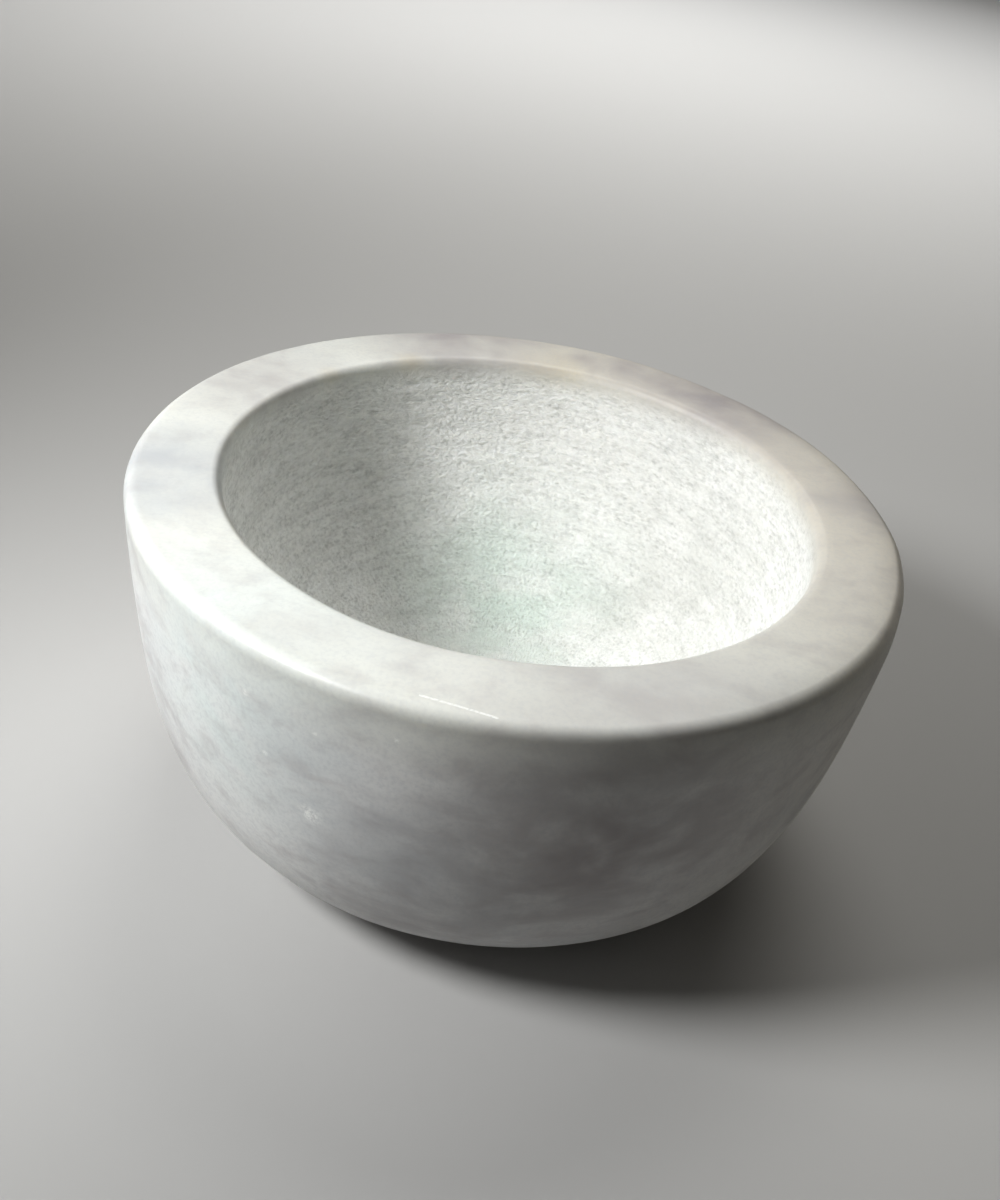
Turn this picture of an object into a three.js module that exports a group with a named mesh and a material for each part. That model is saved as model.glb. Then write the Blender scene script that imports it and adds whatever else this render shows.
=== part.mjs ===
// A shaving bowl, turned on a lathe from one block of marble. Millimetres, +Z up,
// with the origin at the centre of the flat underside.
//
// The bowl is one piece of stone: a heavy wall with a rounded belly, a broad flat rim,
// and a deep round cavity that is left ground, so that the brush works up a lather on it.
import * as THREE from "three";

// Overall sizes.
const RIM_DIAMETER = 127;
const HEIGHT = 62;
const BASE_DIAMETER = 76; // the flat that the bowl stands on

// Thicknesses of stone left by the cavity.
const RIM_WIDTH = 15.3; // across the flat rim, from the outer wall to the mouth
const FLOOR_THICKNESS = 14; // under the lowest point of the cavity

// Edges, softened by hand after turning.
const OUTER_EDGE_RADIUS = 2.5;
const LIP_RADIUS = 2;
const BASE_EDGE_RADIUS = 2;

// The belly of the outer wall: how steeply it leaves the base, and how far it still leans
// out below the rim, both in degrees.
const BASE_SLOPE = 18;
const RIM_LEAN = 3.5;
// How full the belly is: each end's share of the wall's width and height over which the
// wall keeps its direction before it bends.
const BASE_FULLNESS = 0.84;
const RIM_FULLNESS = 0.58;

// The cavity is a superellipse turned about the axis: 2 is an ellipse, and more is fuller
// at the bottom corner.
const CAVITY_FULLNESS = 2.25;

// How finely curves are divided.
const SEGMENTS_AROUND = 96;
const WALL_STEPS = 16;
const CAVITY_STEPS = 20;
const EDGE_STEPS = 4;

const radians = THREE.MathUtils.degToRad;

const rimRadius = RIM_DIAMETER / 2;
const baseRadius = BASE_DIAMETER / 2;
const mouthRadius = rimRadius - RIM_WIDTH;
const wallTop = HEIGHT - OUTER_EDGE_RADIUS;
const lipBottom = HEIGHT - LIP_RADIUS;
const cavityDepth = lipBottom - FLOOR_THICKNESS;

// A quarter-round edge about its centre, from one angle to another in degrees.
function edge(centreX, centreY, radius, from, to) {
  const clockwise = to < from;
  const arc = new THREE.EllipseCurve(
    centreX, centreY, radius, radius, radians(from), radians(to), clockwise,
  );
  return arc.getPoints(EDGE_STEPS);
}

// The underside and the soft edge round it, from the axis out.
function underside() {
  const flatRadius = baseRadius - BASE_EDGE_RADIUS * Math.tan(radians(BASE_SLOPE / 2));
  const startOfWall = -90 + BASE_SLOPE;
  return [
    new THREE.Vector2(0, 0),
    ...edge(flatRadius, BASE_EDGE_RADIUS, BASE_EDGE_RADIUS, -90, startOfWall),
  ];
}

// The outer wall: one cubic curve from the base's soft edge to the rim's.
function outerWall(start) {
  const end = new THREE.Vector2(rimRadius, wallTop);
  const width = end.x - start.x;
  const height = end.y - start.y;
  const out = BASE_FULLNESS * width;
  const up = RIM_FULLNESS * height;
  const curve = new THREE.CubicBezierCurve(
    start,
    new THREE.Vector2(start.x + out, start.y + out * Math.tan(radians(BASE_SLOPE))),
    new THREE.Vector2(end.x - up * Math.tan(radians(RIM_LEAN)), end.y - up),
    end,
  );
  return curve.getSpacedPoints(WALL_STEPS).slice(1);
}

// The rim: a soft outer edge, the broad flat, and the soft lip of the mouth.
function rim() {
  const outerCentre = rimRadius - OUTER_EDGE_RADIUS;
  const lipCentre = mouthRadius + LIP_RADIUS;
  return [
    ...edge(outerCentre, wallTop, OUTER_EDGE_RADIUS, 0, 90).slice(1),
    ...edge(lipCentre, lipBottom, LIP_RADIUS, 90, 180),
  ];
}

// The cavity, from the lip down to its lowest point on the axis.
function cavity() {
  const points = [];
  for (let step = 1; step < CAVITY_STEPS; step += 1) {
    const turn = (step / CAVITY_STEPS) * (Math.PI / 2);
    const radius = mouthRadius * Math.cos(turn) ** (2 / CAVITY_FULLNESS);
    const depth = cavityDepth * Math.sin(turn) ** (2 / CAVITY_FULLNESS);
    points.push(new THREE.Vector2(radius, lipBottom - depth));
  }
  points.push(new THREE.Vector2(0, FLOOR_THICKNESS));
  return points;
}

// White marble with soft grey clouds, polished outside.
function marble() {
  return new THREE.MeshStandardMaterial({
    color: "#e2e1da",
    roughness: 0.3,
    metalness: 0,
  });
}

function marbleBowl() {
  const foot = underside();
  const profile = [...foot, ...outerWall(foot.at(-1)), ...rim(), ...cavity()];
  const mesh = new THREE.Mesh(new THREE.LatheGeometry(profile, SEGMENTS_AROUND), marble());
  mesh.name = "marble_bowl";
  mesh.rotation.x = Math.PI / 2; // the lathe turns about +Y, and the bowl stands on +Z
  return mesh;
}

const shavingBowl = new THREE.Group();
shavingBowl.add(marbleBowl());

export default shavingBowl;
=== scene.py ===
"""A turned marble shaving bowl, standing on a pale studio floor.

Lengths are in metres. The bowl stands on z = 0, and its turning axis is +Z.
"""

import bpy
import numpy as np
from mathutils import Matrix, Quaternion, Vector


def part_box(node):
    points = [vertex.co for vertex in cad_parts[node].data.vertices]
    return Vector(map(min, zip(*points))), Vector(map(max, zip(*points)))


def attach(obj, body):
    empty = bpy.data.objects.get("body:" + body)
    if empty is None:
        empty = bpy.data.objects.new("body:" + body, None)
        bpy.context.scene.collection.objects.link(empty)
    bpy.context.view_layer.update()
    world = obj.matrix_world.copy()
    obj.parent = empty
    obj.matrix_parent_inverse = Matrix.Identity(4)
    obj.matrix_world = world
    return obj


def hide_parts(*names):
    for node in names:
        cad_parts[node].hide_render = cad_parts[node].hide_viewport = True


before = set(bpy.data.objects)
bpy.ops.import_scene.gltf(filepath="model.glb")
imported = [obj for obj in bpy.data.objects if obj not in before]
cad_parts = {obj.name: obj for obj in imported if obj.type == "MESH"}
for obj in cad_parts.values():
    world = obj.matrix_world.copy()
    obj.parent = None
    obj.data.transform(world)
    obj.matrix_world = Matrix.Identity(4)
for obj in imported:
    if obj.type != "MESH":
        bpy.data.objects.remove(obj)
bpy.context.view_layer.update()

# --- Camera -----------------------------------------------------------------------------
# Held close above the near side of the bowl and looking down into it, tipped a little to
# one side as a hand-held camera is.
CAMERA_DISTANCE = 0.2157
CAMERA_DROP = 33.66  # degrees below the horizontal
CAMERA_TIP = 8.97  # degrees anticlockwise, seen from behind the camera
CAMERA_FOCAL = 36.94  # millimetres, on a sensor 36 mm long
AIM = Vector((-0.0009, 0.0, 0.0379))


def add_camera():
    """The camera looks along +Y and down at the aim point, then tips about its own axis."""
    drop = np.radians(CAMERA_DROP)
    ahead = Vector((0.0, np.cos(drop), -np.sin(drop)))
    data = bpy.data.cameras.new("camera")
    data.lens = CAMERA_FOCAL
    data.sensor_width = 36.0
    data.clip_start = 0.01
    camera = bpy.data.objects.new("camera", data)
    bpy.context.scene.collection.objects.link(camera)
    camera.location = AIM - ahead * CAMERA_DISTANCE
    camera.rotation_mode = "QUATERNION"
    tip = Quaternion((0.0, 0.0, 1.0), np.radians(CAMERA_TIP))
    camera.rotation_quaternion = ahead.to_track_quat("-Z", "Y") @ tip
    bpy.context.scene.camera = camera


add_camera()

# --- The bowl's turned shape --------------------------------------------------------------
# One block of white marble, turned on a lathe: a flat foot, a full belly, a broad rim and a
# deep round cavity, all from one piece of stone with no joint.
low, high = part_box("marble_bowl")
RIM_RADIUS = (high[0] - low[0]) / 2
HEIGHT = high[2]
FOOT_RADIUS = 0.038
RIM_WIDTH = 0.0153
FLOOR_THICKNESS = 0.014
OUTER_EDGE = 0.0025
LIP = 0.002
FOOT_EDGE = 0.002
FOOT_SLOPE = 18.0  # degrees, of the belly where it leaves the foot
RIM_LEAN = 3.5  # degrees, of the wall just below the rim
FOOT_FULLNESS = 0.84  # pull of the belly along the foot's slope, as a share of its way out
RIM_FULLNESS = 0.58  # and along the rim's lean, as a share of its way up
CAVITY_FULLNESS = 2.25  # power of the cavity's superellipse: 2 would be an ellipse

MOUTH_RADIUS = RIM_RADIUS - RIM_WIDTH
LIP_BOTTOM = HEIGHT - LIP


def arc(centre, radius, start, end):
    """Points on a circle about the centre, from one angle to another in degrees."""
    turn = np.radians(np.linspace(start, end, 60))
    return np.stack([centre[0] + radius * np.cos(turn), centre[1] + radius * np.sin(turn)], 1)


def belly(start, end):
    """A cubic curve that leaves the foot along its slope and meets the rim along its lean."""
    out = FOOT_FULLNESS * (end[0] - start[0])
    up = RIM_FULLNESS * (end[1] - start[1])
    low_pull = start + [out, out * np.tan(np.radians(FOOT_SLOPE))]
    high_pull = end - [up * np.tan(np.radians(RIM_LEAN)), up]
    t = np.linspace(0, 1, 600)[:, None]
    u = 1 - t
    return u**3 * start + 3 * u * u * t * low_pull + 3 * u * t * t * high_pull + t**3 * end


def cavity_curve():
    """A quarter of a superellipse, from the lip down to the lowest point on the axis."""
    turn = np.linspace(0, np.pi / 2, 2000)
    power = 2 / CAVITY_FULLNESS
    depth = LIP_BOTTOM - FLOOR_THICKNESS
    across = MOUTH_RADIUS * np.maximum(np.cos(turn), 0) ** power
    return np.stack([across, LIP_BOTTOM - depth * np.sin(turn) ** power], 1)


def spaced(points, pitch):
    """The curve again with its points an even pitch apart, without its last point."""
    steps = np.hypot(*np.diff(points, axis=0).T)
    along = np.concatenate([[0], np.cumsum(steps)])
    at = np.linspace(0, along[-1], max(round(along[-1] / pitch), 2) + 1)[:-1]
    return np.stack([np.interp(at, along, points[:, 0]), np.interp(at, along, points[:, 1])], 1)


def bowl_profile():
    """Radius and height of every ring, from the foot's centre round to the cavity's. The
    rings lie closest in the cavity, where they have to carry the marks of the tool."""
    flat = FOOT_RADIUS - FOOT_EDGE * np.tan(np.radians(FOOT_SLOPE / 2))
    foot = arc((flat, FOOT_EDGE), FOOT_EDGE, -90, -90 + FOOT_SLOPE)
    wall = belly(foot[-1], np.array([RIM_RADIUS, HEIGHT - OUTER_EDGE]))
    edge = arc((RIM_RADIUS - OUTER_EDGE, HEIGHT - OUTER_EDGE), OUTER_EDGE, 0, 90)
    lip = arc((MOUTH_RADIUS + LIP, LIP_BOTTOM), LIP, 90, 180)
    outside = [
        spaced(np.array([[0.001, 0.0], foot[0]]), 0.006),
        spaced(foot, 0.0002),
        spaced(wall, 0.00105),
        spaced(edge, 0.0003),
        spaced(np.array([edge[-1], lip[0]]), 0.0009),
    ]
    inside = [spaced(lip, 0.0003), spaced(cavity_curve(), 0.00031)]
    return np.concatenate(outside), np.concatenate(inside)


outer_rings, inner_rings = bowl_profile()
profile = np.concatenate([outer_rings, inner_rings])
SEGMENTS = 256
angle = np.linspace(0, 2 * np.pi, SEGMENTS, endpoint=False)
radius, height = profile[:, :1], profile[:, 1:]
surface = np.stack([radius * np.cos(angle), radius * np.sin(angle), height + 0 * angle], 2)

# How far each ring lies along the profile from where the lip begins: negative outside, and
# positive down into the cavity. This is the way that the tool travelled.
travel = np.concatenate([[0], np.cumsum(np.hypot(*np.diff(profile, axis=0).T))])
travel = (travel - travel[len(outer_rings)])[:, None] + 0 * angle

# The way out of the stone at each ring, square to the profile.
slope = np.gradient(profile, axis=0)
slope /= np.hypot(*slope.T)[:, None]
outward = np.stack([slope[:, 1:] * np.cos(angle), slope[:, 1:] * np.sin(angle),
                    -slope[:, :1] + 0 * angle], 2)


# --- Marks of the tool and of the hand ----------------------------------------------------
# The cavity is left as the grinding tool left it: rings a millimetre or so apart, with
# grains plucked out along them. The outside and the rim were rubbed by hand, which leaves
# them very slightly uneven, and the rim a little crowned.
GROUND_FROM = 0.001  # down from the mouth, to where the polish starts to give way
GROUND_FULLY = 0.0068
BAND_WANDER = 0.0007  # up and down, of that band and of the bed's edge
RING_PITCH = 0.0009
RING_DEPTH = 0.00006
PIT_DEPTH = 0.00016
HAND_UNEVENNESS = 0.00012
RIM_CROWN = 0.00025
EDGE_WEAR = 0.00045  # off the outer edge where it was rubbed most
EDGE_WORN_SIDE = -15  # degrees round from +X
EDGE_CREST = 0.0004  # left standing where the edge was hardly rubbed
EDGE_CRISP_SIDE = -112
BED_RADIUS = 0.0205  # of the smoother bed in the bottom of the cavity
BED_EDGE = 0.002


def rough_field(points, cell, seed):
    """Smooth random values from -1 to 1: one at each corner of a lattice with this cell,
    eased between the eight corners round each point. The cell may differ by axis, and the
    lattice repeats too many cells away to be noticed."""
    table = np.random.default_rng(seed).uniform(-1, 1, (53, 53, 131))
    place = points / cell
    corner = np.floor(place).astype(int)
    part = place - corner
    ease = part * part * (3 - 2 * part)
    total = np.zeros(points.shape[:-1])
    for step in np.ndindex(2, 2, 2):
        weight = np.prod(np.where(step, ease, 1 - ease), axis=-1)
        i, j, k = np.moveaxis((corner + step) % table.shape, -1, 0)
        total += weight * table[i, j, k]
    return total


def smooth_step(value, start, end):
    """0 before start, 1 after end, and an eased S between them."""
    t = np.clip((value - start) / (end - start), 0, 1)
    return t * t * (3 - 2 * t)


# Places across the bowl and along the tool's travel. A pattern in them whose cells are wide
# across and short along the travel lies in rings on the stone.
ringwise = np.stack([surface[..., 0], surface[..., 1], travel], 2)

wander = BAND_WANDER * rough_field(surface, 0.009, 11)
ground = smooth_step(travel + wander, GROUND_FROM, GROUND_FULLY)
in_cavity = smooth_step(travel, 0.02, 0.03)
bed = in_cavity * (1 - smooth_step(radius + wander, BED_RADIUS - BED_EDGE, BED_RADIUS))
rings = rough_field(ringwise, (0.06, 0.06, RING_PITCH), 3)
rings += 0.6 * rough_field(ringwise, (0.014, 0.014, 0.0006), 4)
plucked = rough_field(ringwise, (0.0022, 0.0022, 0.0006), 5)
plucked += 0.5 * rough_field(ringwise, (0.0012, 0.0012, 0.0004), 6)
pits = smooth_step(plucked, 0.45, 1.0)
hand = rough_field(surface, 0.017, 7) + 0.4 * rough_field(surface, 0.007, 8)

# The rim falls away a little towards both of its edges.
across_rim = (radius - MOUTH_RADIUS) / RIM_WIDTH
crowned = np.abs(2 * np.clip(across_rim, 0, 1) - 1) ** 2.5 * smooth_step(height, 0.055, HEIGHT)

on_foot = 1 - smooth_step(height, 0, 0.004)
relief = HAND_UNEVENNESS * (hand - 1.4) * (1 - ground) * (1 - on_foot)
relief = relief - RIM_CROWN * crowned + 0 * angle
relief += ground * (1 - 0.8 * bed) * (RING_DEPTH * (rings - 1.6) - PIT_DEPTH * pits)

# How far each ring lies along the profile from the middle of the outer edge's curve.
from_edge = travel + RIM_WIDTH - LIP - OUTER_EDGE + np.pi / 4 * OUTER_EDGE
worn = smooth_step(np.cos(angle - np.radians(EDGE_WORN_SIDE)), -0.2, 0.9)
crisp = smooth_step(np.cos(angle - np.radians(EDGE_CRISP_SIDE)), 0.3, 0.9)
relief -= EDGE_WEAR * worn * np.exp(-(from_edge / 0.0032)**2)
relief += EDGE_CREST * crisp * np.exp(-(from_edge / 0.0015)**2)
surface = surface + outward * relief[..., None]


def stone_mesh(name, rows, first_pole, last_pole):
    """A closed mesh from rings of points: a quad between each four neighbours, and a fan
    from a pole to the first ring and to the last."""
    rings, segments = rows.shape[:2]
    here = np.arange(segments)
    there = (here + 1) % segments
    row = segments * np.arange(rings - 1)[:, None]
    quads = np.stack([row + here, row + there, row + segments + there, row + segments + here], 2)
    first, last = rings * segments, rings * segments + 1
    end = segments * (rings - 1)
    fans = [np.stack([there, here, np.full(segments, first)], 1),
            np.stack([end + here, end + there, np.full(segments, last)], 1)]
    mesh = bpy.data.meshes.new(name)
    points = np.concatenate([rows.reshape(-1, 3), [first_pole, last_pole]])
    mesh.from_pydata(points, [], quads.reshape(-1, 4).tolist() + np.concatenate(fans).tolist())
    mesh.polygons.foreach_set("use_smooth", np.ones(len(mesh.polygons), bool))
    mesh.update()
    return mesh


def write_attribute(mesh, name, values, at_poles):
    """A number at every point of the mesh, ring by ring, and then at its two poles."""
    layer = mesh.attributes.new(name, "FLOAT", "POINT")
    layer.data.foreach_set("value", np.concatenate([np.ravel(values), at_poles]))


cavity_floor = (0, 0, surface[-1, :, 2].mean())
bowl_mesh = stone_mesh("marble_bowl_stone", surface, (0, 0, 0), cavity_floor)
write_attribute(bowl_mesh, "travel", travel, (travel.min(), travel.max()))
write_attribute(bowl_mesh, "ground", ground, (0, 1))
write_attribute(bowl_mesh, "pits", pits * ground, (0, 0))
write_attribute(bowl_mesh, "bed", bed, (0, 1))
bowl = bpy.data.objects.new("marble_bowl_stone", bowl_mesh)
bpy.context.scene.collection.objects.link(bowl)

# --- The stone --------------------------------------------------------------------------
# White marble, polished by hand outside and left ground in the cavity. Light goes a little
# way into its crystals and comes out softened. Polished, it shows its grey clouds and a soft
# sheen; ground, it is dull, whiter where grains are crushed and darker in the pits.
WHITE = "#E8E9E8"
CREAM_WHITE = "#DCDED8"
WARM = "#D0CABF"
SEA_GREY = "#E1E9E7"
BLUE_GREY = "#B7BBBF"
VIOLET_GREY = "#ABA6A7"
OCHRE = "#CDBE98"
CRUSHED = "#F9FAF8"
PALE_GREEN = "#D6E1DA"
SOFT_GREY = "#D3D4D0"
PIT = "#8C8E8A"
# The white of crushed crystals, also used for the painted glints.
BRUISE_AND_GLINT_WHITE = "#F7F9F7"

# Marks that have a place, the stone's own and painted shade on the front wall: colour, centre,
# reach in metres, strength.
STAINS_AND_PAINTED_SHADE = [
    (SEA_GREY, (-0.036, -0.050, 0.048), 0.030, 0.90),
    (BLUE_GREY, (-0.020, -0.056, 0.042), 0.022, 0.40),
    # These three are partly grey clouds and partly painted shade: the front wall darker, most of
    # all low towards the foot.
    (BLUE_GREY, (-0.004, -0.054, 0.030), 0.026, 0.65),
    (VIOLET_GREY, (0.018, -0.055, 0.040), 0.040, 0.90),
    (VIOLET_GREY, (-0.006, -0.044, 0.012), 0.028, 0.85),
    (VIOLET_GREY, (-0.046, -0.034, 0.022), 0.014, 0.40),
    (OCHRE, (-0.025, 0.042, 0.061), 0.005, 0.45),
    (OCHRE, (-0.038, 0.030, 0.062), 0.004, 0.35),
    (OCHRE, (0.002, 0.050, 0.062), 0.013, 0.32),
    (VIOLET_GREY, (-0.018, 0.056, 0.062), 0.026, 0.90),
    (VIOLET_GREY, (0.009, 0.056, 0.062), 0.006, 0.75),
    (VIOLET_GREY, (0.017, 0.055, 0.062), 0.006, 0.80),
    (VIOLET_GREY, (0.036, 0.047, 0.062), 0.030, 1.00),
    (VIOLET_GREY, (0.059, 0.011, 0.062), 0.014, 0.50),
    (BLUE_GREY, (-0.055, -0.014, 0.062), 0.024, 0.80),
    (VIOLET_GREY, (-0.050, 0.022, 0.062), 0.024, 0.45),
]

# The stone's own stains, where they show through the ground surface.
GROUND_STAINS = [
    (SOFT_GREY, (0.030, 0.022, 0.030), 0.040, 0.75),
    (SOFT_GREY, (0.018, 0.022, 0.021), 0.018, 0.85),
    (PALE_GREEN, (0.000, 0.029, 0.021), 0.034, 1.0),
]

# The first, a knock that left the crystals white; the rest, small painted glints of single
# crystals: centre, and how far each reaches.
BRUISES_AND_GLINTS = [
    ((-0.0221, -0.0575, 0.0363), 0.0026),
    ((-0.0322, -0.0542, 0.0532), 0.0008),
    ((-0.0218, -0.0591, 0.0520), 0.0008),
    ((-0.0110, -0.0623, 0.0560), 0.0007),
    ((-0.0290, -0.0550, 0.0440), 0.0007),
    ((-0.0476, 0.0087, 0.0592), 0.0015),
]

# A painted glint, a fine bright line along the outer edge: its two ends, and its reach either side.
GLINT_LINE_START = (-0.0088, -0.0597, 0.0618)
GLINT_LINE_END = (0.0010, -0.0616, 0.0616)
GLINT_LINE_REACH = 0.0003


def linear(code):
    """An sRGB hex colour as linear red, green, blue and alpha."""
    part = np.array([int(code[i:i + 2], 16) for i in (1, 3, 5)]) / 255
    part = np.where(part <= 0.04045, part / 12.92, ((part + 0.055) / 1.055) ** 2.4)
    return (*part, 1)


def node(tree, kind, inputs=(), **settings):
    """Adds one node, sets its properties, and sets or links its inputs, given as pairs of
    a socket's name or number and a value or another node's output."""
    made = tree.nodes.new(kind)
    for name, value in settings.items():
        setattr(made, name, value)
    for socket, value in inputs:
        if isinstance(value, bpy.types.NodeSocket):
            tree.links.new(value, made.inputs[socket])
        else:
            made.inputs[socket].default_value = value
    return made


def grains(tree, vector, size, detail=3.0, roughness=0.5):
    """Noise from 0 to 1 whose lumps are about this size, in metres, along each axis."""
    scaled = node(tree, "ShaderNodeMapping", [("Vector", vector), ("Scale", [1 / v for v in size])])
    return node(tree, "ShaderNodeTexNoise", [
        ("Vector", scaled.outputs[0]), ("Scale", 1.0), ("Detail", detail),
        ("Roughness", roughness)]).outputs["Fac"]


def cover(tree, pattern, span, share, where=1.0):
    """How much a pattern covers: the first share where it is at the start of its span,
    easing to the second at the end, and no more than a mask lets through."""
    eased = node(tree, "ShaderNodeMapRange", [
        ("Value", pattern), ("From Min", span[0]), ("From Max", span[1]),
        ("To Min", share[0]), ("To Max", share[1])], interpolation_type="SMOOTHSTEP")
    return node(tree, "ShaderNodeMath", [(0, eased.outputs[0]), (1, where)],
                operation="MULTIPLY").outputs[0]


def lay(tree, under, code, pattern, span, share, where=1.0):
    """A colour laid over another as far as a pattern covers it."""
    return node(tree, "ShaderNodeMix", [
        (0, cover(tree, pattern, span, share, where)), (6, under), (7, linear(code))],
        data_type="RGBA").outputs[2]


def near(tree, place, centre, reach):
    """1 at the centre, fading to 0 at this distance from it, in metres."""
    away = node(tree, "ShaderNodeVectorMath", [(0, place), (1, centre)], operation="DISTANCE")
    return cover(tree, away.outputs["Value"], (reach, 0.0), (0.0, 1.0))


def along_line(tree, place, start, end, reach):
    """1 on the straight line between two points, fading to 0 at this distance from it."""
    way = Vector(end) - Vector(start)
    ahead = node(tree, "ShaderNodeVectorMath", [(0, place), (1, start)], operation="SUBTRACT")
    share = node(tree, "ShaderNodeVectorMath", [
        (0, ahead.outputs[0]), (1, way / way.length_squared)], operation="DOT_PRODUCT")
    part = node(tree, "ShaderNodeClamp", [(0, share.outputs["Value"])])
    foot = node(tree, "ShaderNodeVectorMath", [(0, way), ("Scale", part.outputs[0])],
                operation="SCALE")
    away = node(tree, "ShaderNodeVectorMath", [(0, ahead.outputs[0]), (1, foot.outputs[0])],
                operation="DISTANCE")
    return cover(tree, away.outputs["Value"], (reach, 0.3 * reach), (0.0, 1.0))


def ring_place(tree, place):
    """Coordinates for patterns that follow the tool: the direction from the axis, drawn out
    to the mouth's radius, and the way that the tool had travelled."""
    travelled = node(tree, "ShaderNodeAttribute", attribute_name="travel").outputs["Fac"]
    level = node(tree, "ShaderNodeVectorMath", [(0, place), (1, (1, 1, 0))], operation="MULTIPLY")
    spoke = node(tree, "ShaderNodeVectorMath", [(0, level.outputs[0])], operation="NORMALIZE")
    end = node(tree, "ShaderNodeVectorMath", [(0, spoke.outputs[0]), ("Scale", MOUTH_RADIUS)],
               operation="SCALE")
    down = node(tree, "ShaderNodeCombineXYZ", [(2, travelled)])
    return node(tree, "ShaderNodeVectorMath", [(0, end.outputs[0]), (1, down.outputs[0])],
                operation="ADD").outputs[0]


def polished_colour(tree, place):
    """The stone's colour and painted light: white, cleaner and creamier in the block's top layer,
    warmer to one side, with clouds, stains and crystals laid over one another, painted shade on
    the front wall and painted glints."""
    up = node(tree, "ShaderNodeSeparateXYZ", [(0, place)]).outputs[2]

    # Clouds bend with the folding of the rock, so their coordinates wander by a few millimetres.
    fold = node(tree, "ShaderNodeTexNoise", [
        ("Vector", place), ("Scale", 1 / 0.022), ("Detail", 2.0)])
    bent = node(tree, "ShaderNodeVectorMath", [
        (0, fold.outputs["Color"]), (1, (0.012, 0.012, 0.012)), (2, place)],
        operation="MULTIPLY_ADD").outputs[0]
    side = node(tree, "ShaderNodeVectorMath", [(0, bent), (1, (0.84, 0.54, 0.0))],
                operation="DOT_PRODUCT").outputs["Value"]
    colour = lay(tree, linear(WHITE), CREAM_WHITE, up, (0.048, 0.061), (0.0, 0.85))
    colour = lay(tree, colour, WARM, side, (-0.010, 0.062), (0.0, 0.75))

    cloudy = cover(tree, up, (0.061, 0.048), (0.75, 1.0))
    broad = grains(tree, bent, (0.034, 0.016, 0.018))
    colour = lay(tree, colour, BLUE_GREY, broad, (0.46, 0.78), (0.0, 0.36), cloudy)
    wisps = grains(tree, bent, (0.018, 0.008, 0.0055))
    colour = lay(tree, colour, VIOLET_GREY, wisps, (0.48, 0.78), (0.0, 0.34), cloudy)
    broken = grains(tree, bent, (0.009, 0.007, 0.006), detail=4.0)
    # Stains of the stone, and painted shade on the front wall.
    for code, centre, reach, amount in STAINS_AND_PAINTED_SHADE:
        colour = lay(tree, colour, code, broken, (0.20, 0.70), (0.35 * amount, amount),
                     near(tree, place, centre, reach))
    mottle = grains(tree, bent, (0.0075, 0.0055, 0.0040), detail=4.0, roughness=0.55)
    colour = lay(tree, colour, VIOLET_GREY, mottle, (0.46, 0.76), (0.0, 0.34), cloudy)

    # Single crystals are about 0.3 mm across; they are drawn at twice that, which still reads
    # as an even grain.
    crystals = grains(tree, place, (0.0007, 0.0007, 0.0007), roughness=0.6)
    colour = lay(tree, colour, BLUE_GREY, crystals, (0.38, 0.75), (0.0, 0.26), cloudy)
    speckle = grains(tree, place, (0.0006, 0.0006, 0.0006), roughness=0.7)
    # White crushed crystals of a knock, and small painted glints of single crystals.
    for centre, reach in BRUISES_AND_GLINTS:
        colour = lay(tree, colour, BRUISE_AND_GLINT_WHITE, speckle, (0.38, 0.62), (0.0, 1.0),
                     near(tree, place, centre, reach))
    # A painted glint along the outer edge, broken up by the speckle.
    painted_glint = along_line(tree, place, GLINT_LINE_START, GLINT_LINE_END, GLINT_LINE_REACH)
    return lay(tree, colour, BRUISE_AND_GLINT_WHITE, painted_glint, (0.0, 1.0), (0.0, 0.7),
               cover(tree, speckle, (0.32, 0.55), (0.2, 1.0)))


def ground_colour(tree, place, along_rings, polished, felt, flecks):
    """The ground surface's colour: crushed grains hide most of the clouds, and dark flecks
    where grains were plucked out lie in bands along the rings, fewer in the smooth bed."""
    pitted = node(tree, "ShaderNodeAttribute", attribute_name="pits").outputs["Fac"]
    bedded = node(tree, "ShaderNodeAttribute", attribute_name="bed").outputs["Fac"]
    colour = node(tree, "ShaderNodeMix", [(0, 0.85), (6, polished), (7, linear(CRUSHED))],
                  data_type="RGBA").outputs[2]
    haze = grains(tree, place, (0.011, 0.011, 0.011), detail=4.0)
    for code, centre, reach, amount in GROUND_STAINS:
        colour = lay(tree, colour, code, haze, (0.30, 0.60), (0.4 * amount, amount),
                     near(tree, place, centre, reach))
    tone = grains(tree, along_rings, (0.016, 0.016, 0.0022), detail=4.0, roughness=0.6)
    colour = lay(tree, colour, PIT, tone, (0.38, 0.70), (0.0, 0.12))
    bands = grains(tree, along_rings, (0.0075, 0.0075, 0.0013))
    streaked = cover(tree, bands, (0.34, 0.64), (0.50, 1.0),
                     cover(tree, bedded, (0.0, 1.0), (1.0, 0.5)))
    colour = lay(tree, colour, PIT, felt, (0.36, 0.74), (0.0, 0.30), streaked)
    colour = lay(tree, colour, PIT, flecks, (0.46, 0.74), (0.0, 0.24), streaked)
    return lay(tree, colour, PIT, pitted, (0.0, 1.0), (0.0, 0.10))


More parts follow.
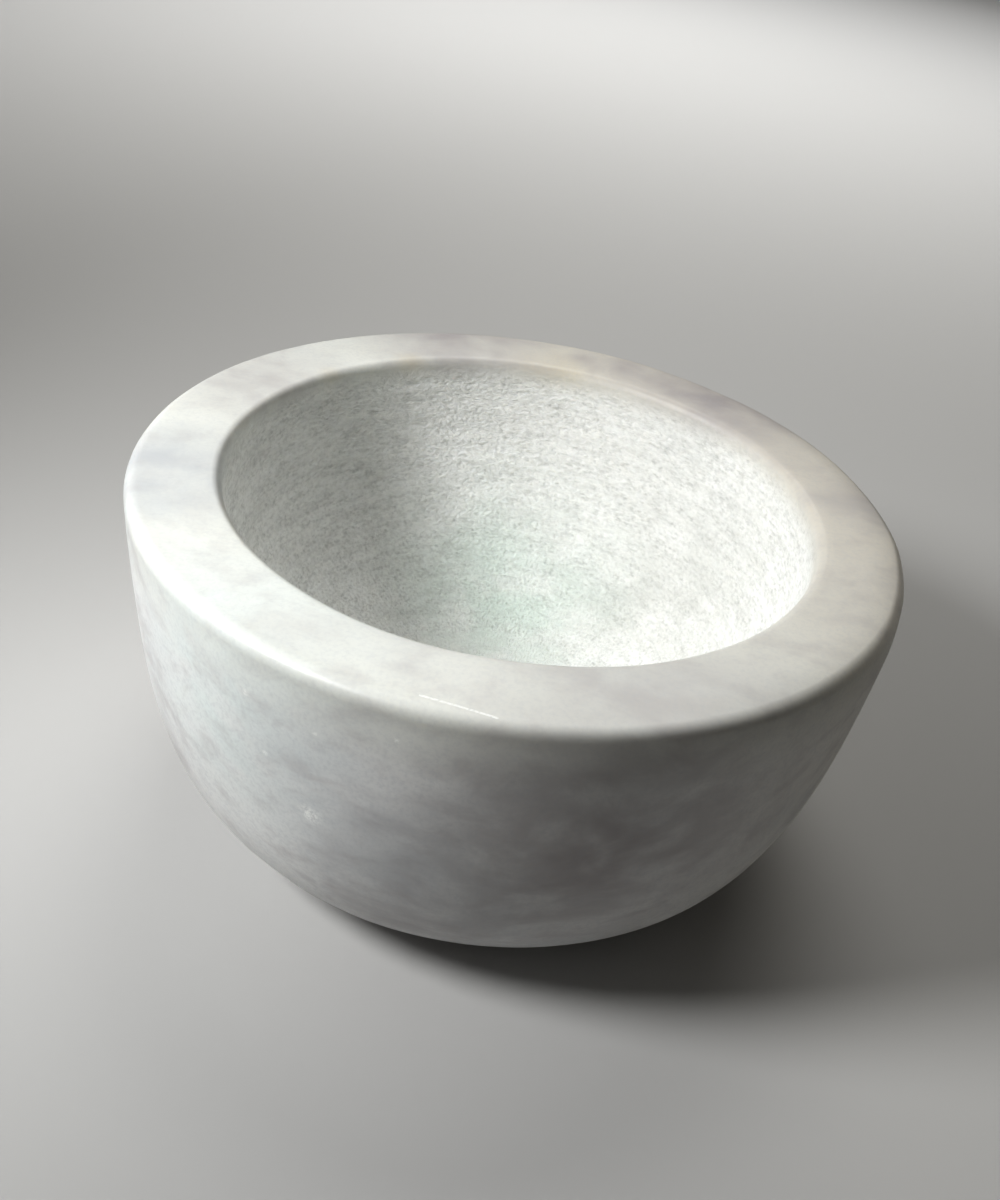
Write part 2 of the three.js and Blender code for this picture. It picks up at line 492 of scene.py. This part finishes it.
def marble():
    """The polished colour with the ground one over it in the cavity, then gloss and grain."""
    material = bpy.data.materials.new("white_marble_polished_and_ground")
    material.use_nodes = True
    tree = material.node_tree
    tree.nodes.clear()
    place = node(tree, "ShaderNodeTexCoord").outputs["Object"]
    ground_share = node(tree, "ShaderNodeAttribute", attribute_name="ground").outputs["Fac"]

    # Plucked grains are about a quarter of a millimetre across. They are drawn two to four
    # times as large and drawn out along the rings, so that they show.
    along_rings = ring_place(tree, place)
    felt = grains(tree, along_rings, (0.0014, 0.0014, 0.0006), detail=3.0, roughness=0.6)
    flecks = grains(tree, along_rings, (0.0009, 0.0009, 0.0006), detail=3.0)
    polished = polished_colour(tree, place)
    crushed = ground_colour(tree, place, along_rings, polished, felt, flecks)
    colour = node(tree, "ShaderNodeMix", [(0, ground_share), (6, polished), (7, crushed)],
                  data_type="RGBA").outputs[2]

    # The rubbed outside is a little glossier in some clouds than in others.
    sheen = cover(tree, grains(tree, place, (0.02, 0.02, 0.02)), (0.3, 0.7), (0.42, 0.52))
    dull = node(tree, "ShaderNodeMix", [(0, ground_share), (2, sheen), (3, 0.88)]).outputs[0]

    both = node(tree, "ShaderNodeMath", [(0, felt), (1, flecks)], operation="ADD")
    grain = node(tree, "ShaderNodeMath", [(0, both.outputs[0]), (1, ground_share)],
                 operation="MULTIPLY")
    bump = node(tree, "ShaderNodeBump", [
        ("Strength", 1.0), ("Distance", 0.0003), ("Height", grain.outputs[0])], invert=True)
    stone = node(tree, "ShaderNodeBsdfPrincipled", [
        ("Base Color", colour), ("Roughness", dull), ("Normal", bump.outputs[0]), ("IOR", 1.55),
        ("Subsurface Weight", 0.22), ("Subsurface Scale", 0.0025),
        ("Subsurface Radius", (1.0, 0.92, 0.8))])
    node(tree, "ShaderNodeOutputMaterial", [("Surface", stone.outputs[0])])
    return material


bowl_mesh.materials.append(marble())
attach(bowl, "root")
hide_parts("marble_bowl")

# --- The floor and the light ------------------------------------------------------------
# A plain pale floor and a dim room. A soft key lamp stands low at the left, which leaves the
# near left wall of the cavity in shade, with a broad window behind the bowl and a lamp over
# the floor beyond it.
FLOOR = "#C7C7C6"
ROOM = "#FFFBF5"
ROOM_LIGHT = 0.08


def studio_floor():
    """A flat square, a little rough, much wider than the view."""
    half = 6.0
    mesh = bpy.data.meshes.new("studio_floor")
    mesh.from_pydata([(-half, -half, 0), (half, -half, 0), (half, half, 0), (-half, half, 0)],
                     [], [(0, 1, 2, 3)])
    material = bpy.data.materials.new("matte_painted_board")
    material.use_nodes = True
    tree = material.node_tree
    tree.nodes["Principled BSDF"].inputs["Base Color"].default_value = linear(FLOOR)
    tree.nodes["Principled BSDF"].inputs["Roughness"].default_value = 0.9
    mesh.materials.append(material)
    floor = bpy.data.objects.new("studio_floor", mesh)
    bpy.context.scene.collection.objects.link(floor)


def lamp(name, aim, azimuth, elevation, distance, size, power, colour, spread):
    """A round soft lamp that looks at its aim from this direction, in degrees round from +X
    and up from the floor, with its light kept within this angle."""
    turn, lift = np.radians(azimuth), np.radians(elevation)
    way = Vector((np.cos(turn) * np.cos(lift), np.sin(turn) * np.cos(lift), np.sin(lift)))
    data = bpy.data.lights.new(name, "AREA")
    data.shape = "DISK"
    data.size = size
    data.energy = power
    data.color = linear(colour)[:3]
    data.spread = np.radians(spread)
    made = bpy.data.objects.new(name, data)
    bpy.context.scene.collection.objects.link(made)
    made.location = Vector(aim) + way * distance
    made.rotation_mode = "QUATERNION"
    made.rotation_quaternion = (-way).to_track_quat("-Z", "Y")


def studio_room():
    """An even dim light from all round."""
    world = bpy.data.worlds.new("room")
    world.use_nodes = True
    background = world.node_tree.nodes["Background"]
    background.inputs["Color"].default_value = linear(ROOM)
    background.inputs["Strength"].default_value = ROOM_LIGHT
    bpy.context.scene.world = world


studio_floor()
lamp("key", (0, 0, 0.05), azimuth=207, elevation=38, distance=0.32, size=0.095, power=0.188,
     colour="#FFFFFF", spread=85)
lamp("window", (0, 0, 0.05), azimuth=80, elevation=47, distance=1.2, size=1.0, power=1.6,
     colour="#FFFDF8", spread=120)
lamp("sweep", (0, 1.0, 0), azimuth=90, elevation=89, distance=1.3, size=1.3, power=3.6,
     colour="#FFFFFF", spread=60)
studio_room()
bpy.context.scene.view_settings.view_transform = "Standard"
bpy.context.scene.view_settings.look = "High Contrast"
